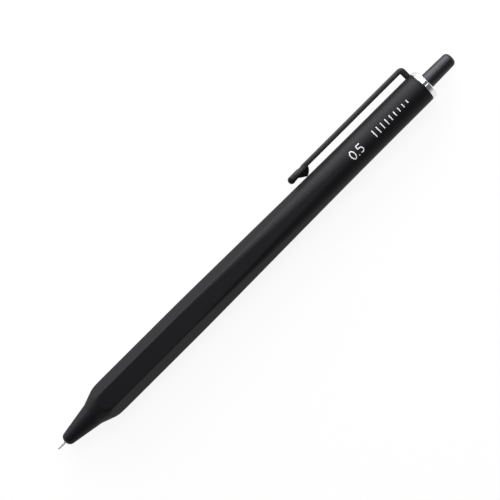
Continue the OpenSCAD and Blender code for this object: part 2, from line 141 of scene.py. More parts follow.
def make_piece(name: str, skins: list[Skin], sharp_deg: float = 32.0) -> bpy.types.Object:
    """Turns grids of points about the pen's axis into one smooth mesh in the frame's place.

    Points that coincide, as at a pole, are merged, and the faces are turned outwards.

    Args:
        name: name of the object.
        skins: the grids, in millimetres from the pen's axis.
        sharp_deg: edges that bend more than this stay sharp.

    Returns:
        The object, at the origin.
    """
    points, faces = [], []
    for skin in skins:
        faces += skin.faces(sum(len(p) for p in points))
        points.append(skin.points.reshape(-1, 3))
    placed = (np.concatenate(points) + [0.0, 0.0, AXIS_HEIGHT]) * MM
    mesh = bpy.data.meshes.new(name)
    mesh.from_pydata(placed.tolist(), [], faces)
    shape = bmesh.new()
    shape.from_mesh(mesh)
    bmesh.ops.remove_doubles(shape, verts=shape.verts, dist=1e-7)
    bmesh.ops.dissolve_degenerate(shape, edges=shape.edges, dist=1e-8)
    bmesh.ops.recalc_face_normals(shape, faces=shape.faces)
    shape.to_mesh(mesh)
    shape.free()
    mesh.shade_smooth()
    mesh.set_sharp_from_angle(angle=math.radians(sharp_deg))
    piece = bpy.data.objects.new(name, mesh)
    bpy.context.scene.collection.objects.link(piece)
    return piece


def round_axis(x: np.ndarray, radius: np.ndarray, angle: np.ndarray) -> np.ndarray:
    """Points at a radius and an angle about the axis, with 0 on the clip side."""
    # y is the radius times the cosine of the angle, and z is the radius times its sine.
    x, radius, angle = np.broadcast_arrays(x, radius, angle)
    return np.stack([x, radius * np.cos(angle), radius * np.sin(angle)], axis=-1)


def rounded(corners: list[tuple[float, ...]], steps: int = 6, closed: bool = True) -> np.ndarray:
    """Rounds the corners of an outline.

    Each corner is replaced by a quarter ellipse that touches both of its sides: it starts
    `before` the corner on the side that arrives and ends `after` the corner on the side that
    leaves. A point a little way outside each end keeps the shading of the flat sides flat.

    Args:
        corners: (x, radius), (x, radius, cut) or (x, radius, before, after) of each corner.
        steps: how many pieces each quarter ellipse has.
        closed: whether the outline closes on itself. An open one keeps its two end points.

    Returns:
        The outline's points, as rows of (x, radius).
    """
    full = np.array([(*c, 0.0, 0.0) if len(c) == 2 else (*c, c[2]) if len(c) == 3 else c
                     for c in corners])
    place, before, after = full[:, :2], full[:, 2], full[:, 3]
    to_last = np.roll(place, 1, axis=0) - place
    to_next = np.roll(place, -1, axis=0) - place
    length_last = np.linalg.norm(to_last, axis=1)
    length_next = np.linalg.norm(to_next, axis=1)
    spare_last = length_last - before - np.roll(after, 1)
    spare_next = length_next - after - np.roll(before, -1)
    back = to_last / length_last[:, None]
    on = to_next / length_next[:, None]
    turn = np.linspace(0, math.pi / 2, steps + 1)[None, :, None]
    curve = (place[:, None] + back[:, None] * before[:, None, None] * (1 - np.sin(turn))
             + on[:, None] * after[:, None, None] * (1 - np.cos(turn)))
    lead = place + back * (before + np.clip(spare_last / 3, 0, FLAT_LEAD))[:, None]
    tail = place + on * (after + np.clip(spare_next / 3, 0, FLAT_LEAD))[:, None]
    outline = np.concatenate([lead[:, None], curve, tail[:, None]], axis=1)
    if closed:
        return outline.reshape(-1, 2)
    inner = outline[1:-1].reshape(-1, 2)
    return np.concatenate([place[:1], tail[:1], inner, lead[-1:], place[-1:]])


def lathe(outline: np.ndarray, closed: bool = True, sides: int = 96) -> Skin:
    """Turns an outline of (x, radius) about the pen's axis.

    Args:
        outline: rows of (x, radius). An open one starts and ends on the axis.
        closed: whether the outline closes on itself.
        sides: how many columns the surface has.

    Returns:
        The turned surface.
    """
    angle = np.linspace(0, 2 * math.pi, sides, endpoint=False)
    points = round_axis(outline[:, :1], outline[:, 1:], angle[None, :])
    return Skin(points, closed_rows=closed)


def soft_min(a: np.ndarray, b: np.ndarray, width: float) -> np.ndarray:
    """The smaller of two values, with the corner between them rounded over a width."""
    # Half the sum, less half the root of the squared difference plus the squared width.
    return (a + b - np.sqrt((a - b) ** 2 + width**2)) / 2


def coil(x_start: float, x_end: float, radius: float, wire: float, turns: int,
         steps: int = 28, sides: int = 12) -> Skin:
    """A wire wound into a coil about the pen's axis, with one closed turn at each end.

    The wire's centre runs round a circle while it advances along x: by a wire's thickness in
    the first and the last turn, and evenly in between. The wire's own circle lies in the
    plane of x and the outward direction.

    Args:
        x_start: where the coil begins along the pen.
        x_end: where it ends.
        radius: the coil's outer radius.
        wire: the wire's diameter.
        turns: number of turns.
        steps: rows in one turn.
        sides: columns round the wire.

    Returns:
        The coiled wire, with flat ends.
    """
    turn = np.arange(turns * steps + 1) / steps
    closed = wire * CLOSED_TURN
    free = x_end - x_start - wire
    rise = np.interp(turn, [0, 1, turns - 1, turns], [0, closed, free - closed, free])
    around = np.linspace(0, 2 * math.pi, sides, endpoint=False)[None, :]
    along = x_start + wire / 2 + rise[:, None] + wire / 2 * np.sin(around)
    out = radius - wire / 2 + wire / 2 * np.cos(around)
    return Skin(round_axis(along, out, -2 * math.pi * turn[:, None]),
                caps=(True, True))


# ---- finishes ----


class Graph:
    """A shader node tree that is filled one node at a time."""

    def __init__(self, tree: bpy.types.NodeTree) -> None:
        """Keeps a node tree and empties it."""
        self.tree = tree
        tree.nodes.clear()

    def add(self, kind: str, inputs: dict[str | int, object] | None = None,
            **settings: object) -> bpy.types.Node:
        """Adds a node.

        Args:
            kind: the node's type.
            inputs: values or output sockets by input name or number.
            settings: properties of the node.

        Returns:
            The node.
        """
        node = self.tree.nodes.new(kind)
        for name, value in settings.items():
            setattr(node, name, value)
        for name, value in (inputs or {}).items():
            if isinstance(value, bpy.types.NodeSocket):
                self.tree.links.new(value, node.inputs[name])
            else:
                node.inputs[name].default_value = value
        return node

    def math(self, operation: str, *values: object) -> bpy.types.NodeSocket:
        """Adds a Math node and gives its output."""
        return self.add("ShaderNodeMath", dict(enumerate(values)), operation=operation).outputs[0]


class Effect(Enum):
    """Shared effects, each a node group that is built once."""

    GRAIN = "surface_grain"
    TURNING = "turning_marks"
    TONE = "tone_drift"

    def tree(self) -> bpy.types.NodeTree:
        """The effect's node group, built at its first use."""
        return bpy.data.node_groups.get(self.value) or EFFECT_MAKERS[self]()

    def place(self, graph: Graph, **inputs: object) -> bpy.types.Node:
        """Places the effect in a material.

        Args:
            graph: the material's node tree.
            inputs: the group's inputs, with underscores for spaces.

        Returns:
            The group node.
        """
        node = graph.add("ShaderNodeGroup", node_tree=self.tree())
        for name, value in inputs.items():
            node.inputs[name.replace("_", " ")].default_value = value
        return node


def new_group(name: str, inputs: dict[str, float], outputs: list[str],
              colours: tuple[str, ...] = ()) -> tuple[Graph, bpy.types.Node, bpy.types.Node]:
    """Starts a node group with named sockets.

    Args:
        name: name of the group.
        inputs: default value of each input.
        outputs: names of the outputs.
        colours: which of the sockets hold a colour.

    Returns:
        The group's graph, its input node and its output node.
    """
    tree = bpy.data.node_groups.new(name, "ShaderNodeTree")
    for label, value in inputs.items():
        kind = "NodeSocketColor" if label in colours else "NodeSocketFloat"
        tree.interface.new_socket(label, in_out="INPUT", socket_type=kind).default_value = value
    for label in outputs:
        kind = "NodeSocketColor" if label in colours else "NodeSocketFloat"
        tree.interface.new_socket(label, in_out="OUTPUT", socket_type=kind)
    graph = Graph(tree)
    return graph, graph.add("NodeGroupInput"), graph.add("NodeGroupOutput")


def make_grain() -> bpy.types.NodeTree:
    """Fine grain of a moulded or painted surface.

    The height is the mean of two noises, one four times as fine as the other. The roughness
    is a middle value that the coarse noise moves up and down by a spread.

    Returns:
        The node group, with a height and a roughness.
    """
    graph, given, result = new_group(
        Effect.GRAIN.value, {"Size mm": 0.2, "Roughness": 0.5, "Spread": 0.05},
        ["Height", "Roughness"])
    where = graph.add("ShaderNodeTexCoord").outputs["Object"]
    scale = graph.math("DIVIDE", 1 / MM, given.outputs["Size mm"])
    coarse = graph.add("ShaderNodeTexNoise", {"Vector": where, "Scale": scale, "Detail": 3.0})
    fine = graph.add("ShaderNodeTexNoise", {
        "Vector": where, "Scale": graph.math("MULTIPLY", scale, 4.0), "Detail": 1.0})
    height = graph.math("MULTIPLY_ADD", fine.outputs["Fac"], 0.5,
                        graph.math("MULTIPLY", coarse.outputs["Fac"], 0.5))
    graph.tree.links.new(height, result.inputs["Height"])
    drift = graph.math("SUBTRACT", coarse.outputs["Fac"], 0.5)
    rough = graph.math("MULTIPLY_ADD", drift, graph.math("MULTIPLY", given.outputs["Spread"], 2.0),
                       given.outputs["Roughness"])
    graph.tree.links.new(rough, result.inputs["Roughness"])
    return graph.tree


def make_turning() -> bpy.types.NodeTree:
    """Marks of a cutting tool, which run round a turned piece.

    The height is a noise that is stretched so far round the axis that it changes only with
    the place along the pen, and the roughness follows it.

    Returns:
        The node group, with a height and a roughness.
    """
    graph, given, result = new_group(
        Effect.TURNING.value, {"Pitch mm": 0.05, "Roughness": 0.1, "Spread": 0.05},
        ["Height", "Roughness"])
    where = graph.add("ShaderNodeTexCoord").outputs["Object"]
    along = graph.add("ShaderNodeSeparateXYZ", {0: where}).outputs["X"]
    place = graph.math("DIVIDE", along, graph.math("MULTIPLY", given.outputs["Pitch mm"], MM))
    noise = graph.add("ShaderNodeTexNoise", {"W": place, "Scale": 1.0, "Detail": 2.0},
                      noise_dimensions="1D").outputs["Fac"]
    graph.tree.links.new(noise, result.inputs["Height"])
    rough = graph.math("MULTIPLY_ADD", noise, given.outputs["Spread"], given.outputs["Roughness"])
    graph.tree.links.new(rough, result.inputs["Roughness"])
    return graph.tree


def make_tone() -> bpy.types.NodeTree:
    """Slow drift of a colour between two tones, over patches of a few millimetres.

    Returns:
        The node group, with a colour.
    """
    graph, given, result = new_group(
        Effect.TONE.value, {"Dark": (0, 0, 0, 1), "Light": (1, 1, 1, 1), "Patch mm": 6.0},
        ["Color"], colours=("Dark", "Light", "Color"))
    where = graph.add("ShaderNodeTexCoord").outputs["Object"]
    scale = graph.math("DIVIDE", 1 / MM, given.outputs["Patch mm"])
    noise = graph.add("ShaderNodeTexNoise", {"Vector": where, "Scale": scale, "Detail": 4.0})
    mix = graph.add("ShaderNodeMix", {"Factor": noise.outputs["Fac"]}, data_type="RGBA")
    graph.tree.links.new(given.outputs["Dark"], mix.inputs["A"])
    graph.tree.links.new(given.outputs["Light"], mix.inputs["B"])
    colour = next(s for s in mix.outputs if s.type == "RGBA")
    graph.tree.links.new(colour, result.inputs["Color"])
    return graph.tree


EFFECT_MAKERS: dict[Effect, Callable[[], bpy.types.NodeTree]] = {
    Effect.GRAIN: make_grain,
    Effect.TURNING: make_turning,
    Effect.TONE: make_tone,
}


def opaque(colour: tuple[float, float, float], factor: float = 1.0) -> tuple[float, ...]:
    """A linear colour times a factor, with full alpha."""
    return (*(channel * factor for channel in colour), 1.0)


def start_material(name: str) -> tuple[bpy.types.Material, Graph, bpy.types.Node]:
    """Starts a material with an empty Principled shader.

    Args:
        name: name of the material.

    Returns:
        The material, its graph and its shader node.
    """
    material = bpy.data.materials.new(name)
    material.use_nodes = True
    graph = Graph(material.node_tree)
    shader = graph.add("ShaderNodeBsdfPrincipled")
    graph.add("ShaderNodeOutputMaterial", {"Surface": shader.outputs[0]})
    return material, graph, shader


def dress_shader(graph: Graph, shader: bpy.types.Node, tone: bpy.types.Node,
                 marks: bpy.types.Node, depth: float) -> None:
    """Joins a colour and the marks of a surface to a shader.

    Args:
        graph: the material's node tree.
        shader: its Principled shader.
        tone: the node that gives the colour.
        marks: the node that gives the height and the roughness.
        depth: height of the marks, in millimetres.
    """
    bump = graph.add("ShaderNodeBump", {
        "Height": marks.outputs["Height"], "Distance": depth * MM, "Strength": 1.0})
    graph.tree.links.new(tone.outputs["Color"], shader.inputs["Base Color"])
    graph.tree.links.new(marks.outputs["Roughness"], shader.inputs["Roughness"])
    graph.tree.links.new(bump.outputs[0], shader.inputs["Normal"])


@dataclass(frozen=True)
class Coat:
    """A paint or a moulded plastic: one colour that drifts a little, with a fine grain.

    The grain's size and its depth are in millimetres. Spread is how far the roughness varies,
    drift is how far the colour does, and shine is the colour of what the surface mirrors.
    """

    colour: tuple[float, float, float]
    roughness: float
    specular: float
    grain: float
    depth: float
    spread: float = 0.04
    drift: float = 0.12
    shine: tuple[float, float, float] = (1.0, 1.0, 1.0)

    def build(self, name: str) -> bpy.types.Material:
        """Makes the material, with its grain as bump and as a change of roughness.

        Args:
            name: name of the material.

        Returns:
            The material.
        """
        material, graph, shader = start_material(name)
        tone = Effect.TONE.place(graph, Dark=opaque(self.colour, 1 - self.drift),
                                 Light=opaque(self.colour, 1 + self.drift))
        grain = Effect.GRAIN.place(graph, Size_mm=self.grain, Roughness=self.roughness,
                                   Spread=self.spread)
        shader.inputs["Specular IOR Level"].default_value = self.specular
        shader.inputs["Specular Tint"].default_value = opaque(self.shine)
        dress_shader(graph, shader, tone, grain, self.depth)
        return material


@dataclass(frozen=True)
class TurnedMetal:
    """A bare metal with the marks of turning or drawing round its axis.

    The marks' pitch and their depth are in millimetres.
    """

    colour: tuple[float, float, float]
    roughness: float
    pitch: float
    depth: float
    spread: float = 0.06
    drift: float = 0.03

    def build(self, name: str) -> bpy.types.Material:
        """Makes the material, with its marks as bump and as a change of roughness.

        Args:
            name: name of the material.

        Returns:
            The material.
        """
        material, graph, shader = start_material(name)
        tone = Effect.TONE.place(graph, Dark=opaque(self.colour, 1 - self.drift),
                                 Light=opaque(self.colour, 1 + self.drift))
        marks = Effect.TURNING.place(graph, Pitch_mm=self.pitch, Roughness=self.roughness,
                                     Spread=self.spread)
        shader.inputs["Metallic"].default_value = 1.0
        dress_shader(graph, shader, tone, marks, self.depth)
        return material


@dataclass(frozen=True)
class Clear:
    """A clear or cloudy body, such as a tube of natural plastic or a gel.

    Index is how strongly it bends light, and transmission is how much of it passes through.
    """

    colour: tuple[float, float, float]
    roughness: float
    index: float
    transmission: float
    grain: float = 0.6
    depth: float = 0.004
    spread: float = 0.03
    drift: float = 0.04

    def build(self, name: str) -> bpy.types.Material:
        """Makes the material, with a slow waviness in its surface.

        Args:
            name: name of the material.

        Returns:
            The material.
        """
        material, graph, shader = start_material(name)
        tone = Effect.TONE.place(graph, Dark=opaque(self.colour, 1 - self.drift),
                                 Light=opaque(self.colour))
        waves = Effect.GRAIN.place(graph, Size_mm=self.grain, Roughness=self.roughness,
                                   Spread=self.spread)
        shader.inputs["IOR"].default_value = self.index
        shader.inputs["Transmission Weight"].default_value = self.transmission
        dress_shader(graph, shader, tone, waves, self.depth)
        return material


class Finish(Enum):
    """The pen's finishes. The names, in small letters, are the record's material slots."""

    SOFT_BLACK = Coat((0.002, 0.002, 0.0024), 0.54, 0.17, grain=0.16, depth=0.004,
                      shine=(0.93, 0.94, 1.0))
    BLACK_METAL = Coat((0.0015, 0.0015, 0.0019), 0.42, 0.215, grain=0.12, depth=0.002)
    BUTTON_BLACK = Coat((0.005, 0.005, 0.006), 0.45, 0.33, grain=0.1, depth=0.002,
                        shine=(0.93, 0.93, 1.0))
    BRIGHT_CHROME = TurnedMetal((0.78, 0.795, 0.812), 0.07, pitch=0.06, depth=0.0006)
    NEEDLE_STEEL = TurnedMetal((0.6, 0.6, 0.594), 0.85, pitch=0.08, depth=0.001)
    BALL_CARBIDE = TurnedMetal((0.5, 0.5, 0.52), 0.12, pitch=0.05, depth=0.0003)
    SPRING_STEEL = TurnedMetal((0.6, 0.61, 0.63), 0.2, pitch=0.1, depth=0.0008)
    WHITE_PLASTIC = Coat((0.76, 0.76, 0.73), 0.42, 0.5, grain=0.3, depth=0.003, drift=0.02)
    BLUE_PLASTIC = Coat((0.05, 0.11, 0.3), 0.4, 0.5, grain=0.3, depth=0.003, drift=0.04)
    CLEAR_PLASTIC = Clear((0.93, 0.95, 0.97), 0.12, 1.49, 0.9)
    INK = Clear((0.004, 0.004, 0.008), 0.08, 1.36, 0.0)
    GREASE = Clear((0.86, 0.79, 0.5), 0.2, 1.46, 0.6)
    WHITE_PRINT = Coat((0.58, 0.58, 0.59), 0.5, 0.3, grain=0.08, depth=0.001, drift=0.03)

    def material(self) -> bpy.types.Material:
        """The finish's material, made at its first use."""
        name = self.name.lower() + "_finish"
        return bpy.data.materials.get(name) or self.value.build(name)


def fit_piece(piece: bpy.types.Object, node: str) -> bpy.types.Object:
    """Puts a piece in a CAD node's place: on its body, in its slot and with its finish.

    Args:
        piece: the new piece.
        node: the CAD node that it stands for.

    Returns:
        The piece.
    """
    slot = SLOT_OF[node]
    piece.data.materials.append(Finish[slot.upper()].material())
    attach(piece, BODY_OF[node])
    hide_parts(node)
    return piece


# ---- barrel and nose ----


@dataclass(frozen=True)
class Barrel:
    """The barrel: six flats with sharp corners at the grip that fade into a round rear.

    Its front is sharpened like a pencil, and its bore steps down to the nose's plug.
    """

    corner_radius: float = 0.3
    flat_length: float = 34.4
    round_length: float = 13.0
    fade_start: float = 1.2
    hair: float = 0.03  # keeps apart what would otherwise meet at one size
    mouth_angle: float = math.radians(20)
    shoulder_radius: float = 9.0
    crease: float = 0.09  # rounding between the flats and the sharpened front
    mouth_wall: float = 0.6
    wall: float = 0.74
    front_bore_length: float = 9.45
    bore_edge: float = 0.3  # flat face round each end of the bore
    bore_rounding: float = 0.15
    step_rounding: float = 0.1
    mouth_rounding: float = 0.06
    edge: float = 0.07
    edge_middle: float = 0.021  # inset of the front edge halfway round
    rear_edge: tuple[float, float] = (0.3, 0.16)  # rounding along the pen and across it
    sharpened_length: float = 7.0
    sharpened_step: float = 0.09
    flat_rows: int = 18
    fade_rows: int = 84
    round_rows: int = 14
    flat_columns: int = 15
    corner_columns: int = 9

    @property
    def reach(self) -> Reach:
        """Where the barrel lies."""
        return Reach.of("barrel")

    @property
    def mouth_radius(self) -> float:
        """Radius of the nose where it meets the barrel."""
        return Reach.of("nose_cone").radius

    def corner(self, x: np.ndarray) -> np.ndarray:
        """Radius of the six corners along the barrel.

        It stays small over the grip, and then grows with the sine of a quarter turn times the
        share of the fade, raised to the power fade_start, until the section is round.

        Args:
            x: places along the pen.

        Returns:
            The corners' radius at each place.
        """
        start = self.reach.start + self.flat_length
        end = self.reach.end - self.round_length
        share = np.clip((x - start) / (end - start), 0, 1) ** self.fade_start
        full = self.reach.radius - self.hair
        return self.corner_radius + (full - self.corner_radius) * np.sin(share * math.pi / 2)

    def section(self, x: np.ndarray, angle: np.ndarray) -> np.ndarray:
        """Distance from the axis to the rounded hexagon, at an angle.

        On a flat it is the half width over the cosine of the angle from the flat's middle. In
        a corner it is the far crossing of the ray with the corner's circle.

        Args:
            x: places along the pen.
            angle: angles in radians.

        Returns:
            Distances from the axis, with the broadcast shape of both.
        """
        half = self.reach.radius
        corner = self.corner(x)
        off_flat = np.abs((angle % (math.pi / 3)) - math.pi / 6)
        off_corner = math.pi / 6 - off_flat
        away = (half - corner) / math.cos(math.pi / 6)
        inside = corner**2 - (away * np.sin(off_corner)) ** 2
        in_corner = away * np.cos(off_corner) + np.sqrt(np.maximum(inside, 0))
        flat_end = np.arctan((half - corner) * math.tan(math.pi / 6) / half)
        return np.where(off_flat < flat_end, half / np.cos(off_flat), in_corner)

    def sharpened(self, x: np.ndarray) -> np.ndarray:
        """Radius of the cone that sharpens the front, with an arc that eases it into the grip.

        Args:
            x: places along the pen.

        Returns:
            The radius at each place. Behind the arc it only grows, and cuts nothing.
        """
        top = self.section(self.reach.start + self.flat_length, np.zeros(1))[0] + self.hair
        slope = math.tan(self.mouth_angle)
        ease = self.shoulder_radius * math.tan(self.mouth_angle / 2)
        meets = self.reach.start + (top - self.mouth_radius) / slope
        arc_start = meets - ease * math.cos(self.mouth_angle)
        arc_end = meets + ease
        cone = self.mouth_radius + (x - self.reach.start) * slope
        into = np.clip(arc_end - x, 0, self.shoulder_radius)
        arc = top - self.shoulder_radius + np.sqrt(self.shoulder_radius**2 - into**2)
        wide = top + (x - arc_end)
        return np.where(x < arc_start, cone, np.where(x < arc_end, arc, wide))

    def radius(self, x: np.ndarray, angle: np.ndarray) -> np.ndarray:
        """Radius of the outside: the smaller of section and sharpened front, softly joined."""
        return soft_min(self.section(x, angle), self.sharpened(x), self.crease)

    def angles(self) -> np.ndarray:
        """Angles of the columns, close together in the corners and even across the flats.

        Returns:
            The angles in radians, all round the barrel.
        """
        half = self.reach.radius
        flat_end = math.atan((half - self.corner_radius) * math.tan(math.pi / 6) / half)
        flat = np.linspace(-flat_end, flat_end, self.flat_columns)
        corner = np.linspace(flat_end, math.pi / 3 - flat_end, self.corner_columns)[1:-1]
        one = np.concatenate([flat, corner]) + math.pi / 6
        return (one[None, :] + np.arange(6)[:, None] * math.pi / 3).ravel()

    def build(self) -> bpy.types.Object:
        """Makes the barrel as one closed wall: outside, rear edge, bore and mouth.

        Returns:
            The barrel's object.
        """
        start, end = self.reach.start, self.reach.end
        sharpened_end = start + self.sharpened_length
        fade, full_round = start + self.flat_length, end - self.round_length
        edge_x, edge_r = self.rear_edge
        x_outside = np.concatenate([
            start + self.edge + np.arange(0, sharpened_end - start - self.edge,
                                          self.sharpened_step),
            np.linspace(sharpened_end, fade, self.flat_rows)[:-1],
            np.linspace(fade, full_round, self.fade_rows)[:-1],
            np.linspace(full_round, end - edge_x, self.round_rows),
        ])
        angle = self.angles()[None, :]
        outside = self.radius(x_outside[:, None], angle)
        turn = np.linspace(0, math.pi / 2, 9)[1:, None]
        x_edge = end - edge_x + edge_x * np.sin(turn[:, 0])
        edge = outside[-1:] - edge_r * (1 - np.cos(turn))
        bore = self.reach.radius - self.wall
        mouth_bore = self.mouth_radius - self.mouth_wall
        step = start + self.front_bore_length
        inside = rounded([
            (end, bore + self.bore_edge), (end, bore, self.bore_rounding),
            (step + bore - mouth_bore, bore, self.step_rounding),
            (step, mouth_bore, self.step_rounding), (start, mouth_bore, self.mouth_rounding),
            (start, mouth_bore + self.bore_edge),
        ], closed=False)
        lip = outside[:1] - np.array([[self.edge], [self.edge_middle]])
        x_lip = [start, start + self.edge_middle]
        x_rows = np.concatenate([x_outside, x_edge, inside[:, 0], x_lip])
        rows = np.concatenate([
            outside, edge, np.broadcast_to(inside[:, 1:], (len(inside), angle.size)), lip])
        skin = Skin(round_axis(x_rows[:, None], rows, angle), closed_rows=True)
        return fit_piece(make_piece("barrel_shell", [skin]), "barrel")


@dataclass(frozen=True)
class Nose:
    """The nose cone, with its rounded front, its plug inside the barrel and its steps."""

    tip_radius: float = 1.56
    rounding: float = 1.45
    hole_fit: float = 0.05
    hole_edge: float = 0.08
    seam: float = 0.05
    front_wall: float = 1.3
    bush_length: float = 3.2
    bush_radius: float = 1.01
    stem_radius: float = 1.63
    spring_bore: float = 2.1
    plug_wall: float = 0.5
    seat_inset: float = 1.6
    plug_rounding: float = 0.15
    bore_rounding: float = 0.1
    fine_rounding: float = 0.05

    @property
    def hole(self) -> float:
        """Radius of the hole that the needle slides in."""
        return Reach.of("needle_tube").radius + self.hole_fit

    def tip(self) -> np.ndarray:
        """The round of the tip, from the hole's edge to the cone.

        Its centre lies as far out as makes the arc touch both the cone and the flat across
        the tip.

        Returns:
            Rows of (x, radius).
        """
        reach, mouth = Reach.of("nose_cone"), Reach.of("barrel").start
        slope = math.atan((reach.radius - self.tip_radius) / (mouth - reach.start))
        centre = self.tip_radius + self.rounding * (
            (1 - math.sin(slope)) * math.tan(slope) - math.cos(slope))
        first = math.asin((self.hole + self.hole_edge - centre) / self.rounding)
        turn = np.linspace(first, math.pi / 2 - slope, 20)
        return np.stack([reach.start + self.rounding * (1 - np.cos(turn)),
                         centre + self.rounding * np.sin(turn)], axis=-1)

    def build(self) -> bpy.types.Object:
        """Makes the nose as one turned outline.

        Returns:
            The nose's object.
        """
        reach, hole = Reach.of("nose_cone"), self.hole
        mouth = Reach.of("barrel").start
        plug = self.spring_bore + self.plug_wall
        bush = reach.start + self.front_wall
        stem = bush + self.bush_length
        seat = mouth - self.seat_inset
        soft, fine = self.bore_rounding, self.fine_rounding
        tip = self.tip()
        behind = rounded([
            tuple(tip[-1]), (mouth, reach.radius, self.seam), (mouth, plug, fine),
            (reach.end, plug, self.plug_rounding), (reach.end, self.spring_bore, soft),
            (seat, self.spring_bore, soft), (seat, self.stem_radius, soft),
            (stem, self.stem_radius, fine), (stem, self.bush_radius, soft),
            (bush, self.bush_radius, fine), (bush, hole, fine),
            (tip[0, 0], hole, self.hole_edge), tuple(tip[0]),
        ], closed=False)
        outline = np.concatenate([tip, behind[1:-1]])
        return fit_piece(make_piece("nose_shell", [lathe(outline)]), "nose_cone")


# ---- writing point ----


@dataclass(frozen=True)
class WritingPoint:
    """The needle, its ball and the fine spring behind the ball."""

    taper: float = 0.9
    taper_rounding: float = 0.2
    lip_wall: float = 0.03
    lip_rounding: float = 0.02
    end_rounding: float = 0.08
    feed_rounding: float = 0.04
    ball_fit: float = 0.012
    feed_fit: float = 0.05
    ball_wire: float = 0.05
    ball_turns: int = 14

    def build_needle(self) -> bpy.types.Object:
        """Makes the needle: a drawn tube with a tapered end that is spun over the ball.

        Returns:
            The needle's object.
        """
        reach, ball = Reach.of("needle_tube"), Reach.of("tip_ball")
        feed = Reach.of("ball_spring").radius + self.feed_fit
        cup = ball.radius + self.ball_fit
        centre = ball.start + ball.radius
        mouth = math.acos(-(reach.start - centre) / cup)
        turn = np.linspace(math.pi - mouth, math.asin(feed / cup), 16)
        socket = np.stack([centre - cup * np.cos(turn), cup * np.sin(turn)], axis=-1)
        wall = rounded([
            tuple(socket[-1]), (reach.end, feed, self.feed_rounding),
            (reach.end, reach.radius, self.end_rounding),
            (reach.start + self.taper, reach.radius, self.taper_rounding),
            (reach.start, cup + self.lip_wall, self.lip_rounding), (reach.start, socket[0, 1]),
        ], closed=False)
        return fit_piece(make_piece("needle_pipe", [lathe(np.concatenate([socket, wall]))]),
                         "needle_tube")

    def build_ball(self) -> bpy.types.Object:
        """Makes the ball as a half circle turned about the axis.

        Returns:
            The ball's object.
        """
        reach = Reach.of("tip_ball")
        turn = np.linspace(0, math.pi, 33)
        outline = np.stack([reach.start + reach.radius * (1 - np.cos(turn)),
                            reach.radius * np.sin(turn)], axis=-1)
        return fit_piece(make_piece("writing_ball", [lathe(outline, closed=False, sides=64)]),
                         "tip_ball")

    def build_ball_spring(self) -> bpy.types.Object:
        """Makes the fine spring that keeps the ball against its rim.

        Returns:
            The spring's object.
        """
        reach = Reach.of("ball_spring")
        skin = coil(reach.start, reach.end, reach.radius, self.ball_wire, self.ball_turns,
                    steps=24, sides=8)
        return fit_piece(make_piece("ball_spring_wire", [skin]), "ball_spring")


@dataclass(frozen=True)
class ReturnSpring:
    """The return spring. It stretches between its seat in the nose and the refill's flange."""

    wire: float = 0.32
    turns: int = 10

    def build(self) -> bpy.types.Object:
        """Makes the coil with the spring steel finish, in place of the CAD spring.

        Returns:
            The spring's object.
        """
        reach = Reach.of("return_spring")
        skin = coil(reach.start, reach.end, reach.radius, self.wire, self.turns)
        piece = make_piece("return_spring_wire", [skin])
        piece.data.materials.append(Finish.SPRING_STEEL.material())
        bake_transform(piece)
        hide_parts("return_spring")
        return piece


# ---- top end ----


